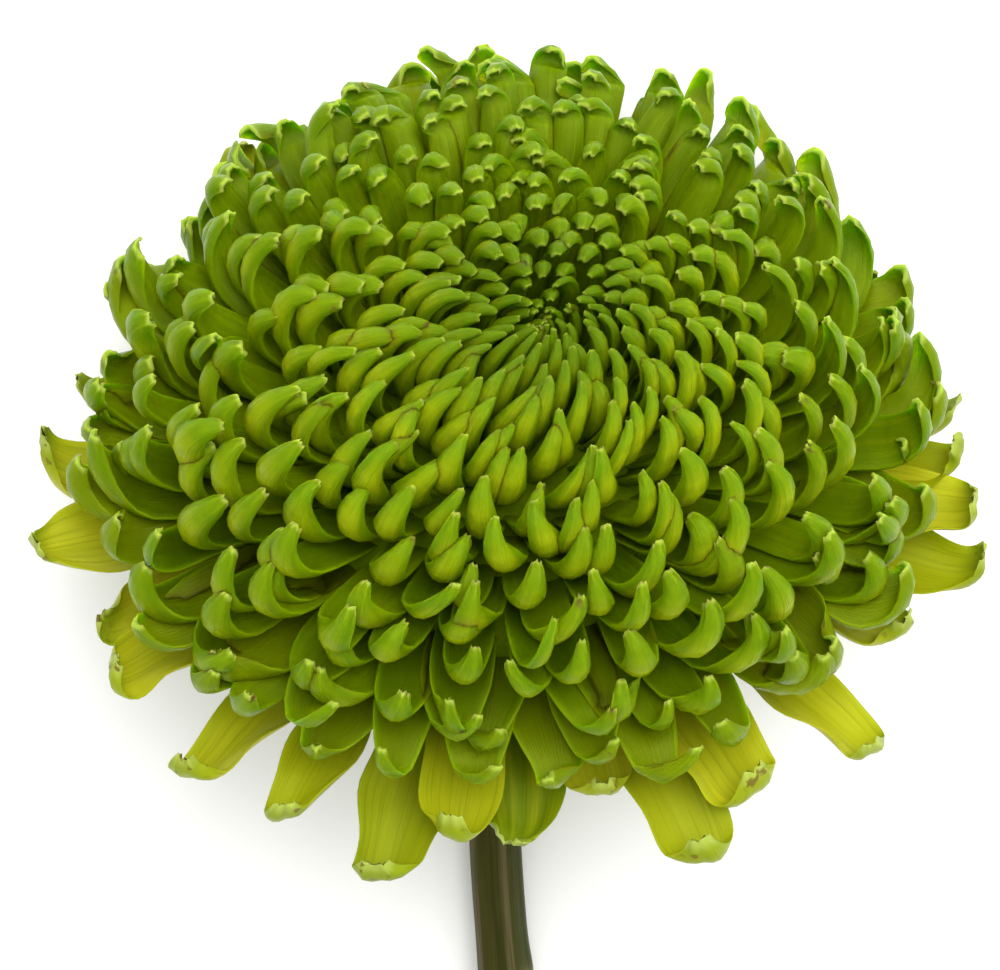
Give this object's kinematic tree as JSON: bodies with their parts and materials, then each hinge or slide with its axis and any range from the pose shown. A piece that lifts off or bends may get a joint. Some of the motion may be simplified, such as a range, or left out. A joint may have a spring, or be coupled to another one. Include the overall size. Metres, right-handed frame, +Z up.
{
  "type": "disbud chrysanthemum",
  "caption": "Cut green disbud chrysanthemum lying down: a large domed bloom of hooked florets with a ring of broad yellow-green outer ones, a bract cup and a bent stem.",
  "frame": {"origin": "centre of the whole object's footprint, on the surface it lies on", "axes": "+Y along the stem from its cut end to the bloom, +Z up from the surface, +X to the bloom's right as the picture shows it"},
  "size_m": [0.1189, 0.1924, 0.063],
  "materials": {
    "green_floret": "satin, waxy living petal",
    "yellow_floret": "satin, waxy living petal, paler and yellower",
    "bract": "matte green bracts",
    "stem_skin": "matte, ribbed, finely haired dark olive stem"
  },
  "bodies": {
    "root": {"green_florets": "green_floret", "yellow_florets": "yellow_floret", "involucre": "bract", "stem": "stem_skin"}
  },
  "joints": []
}
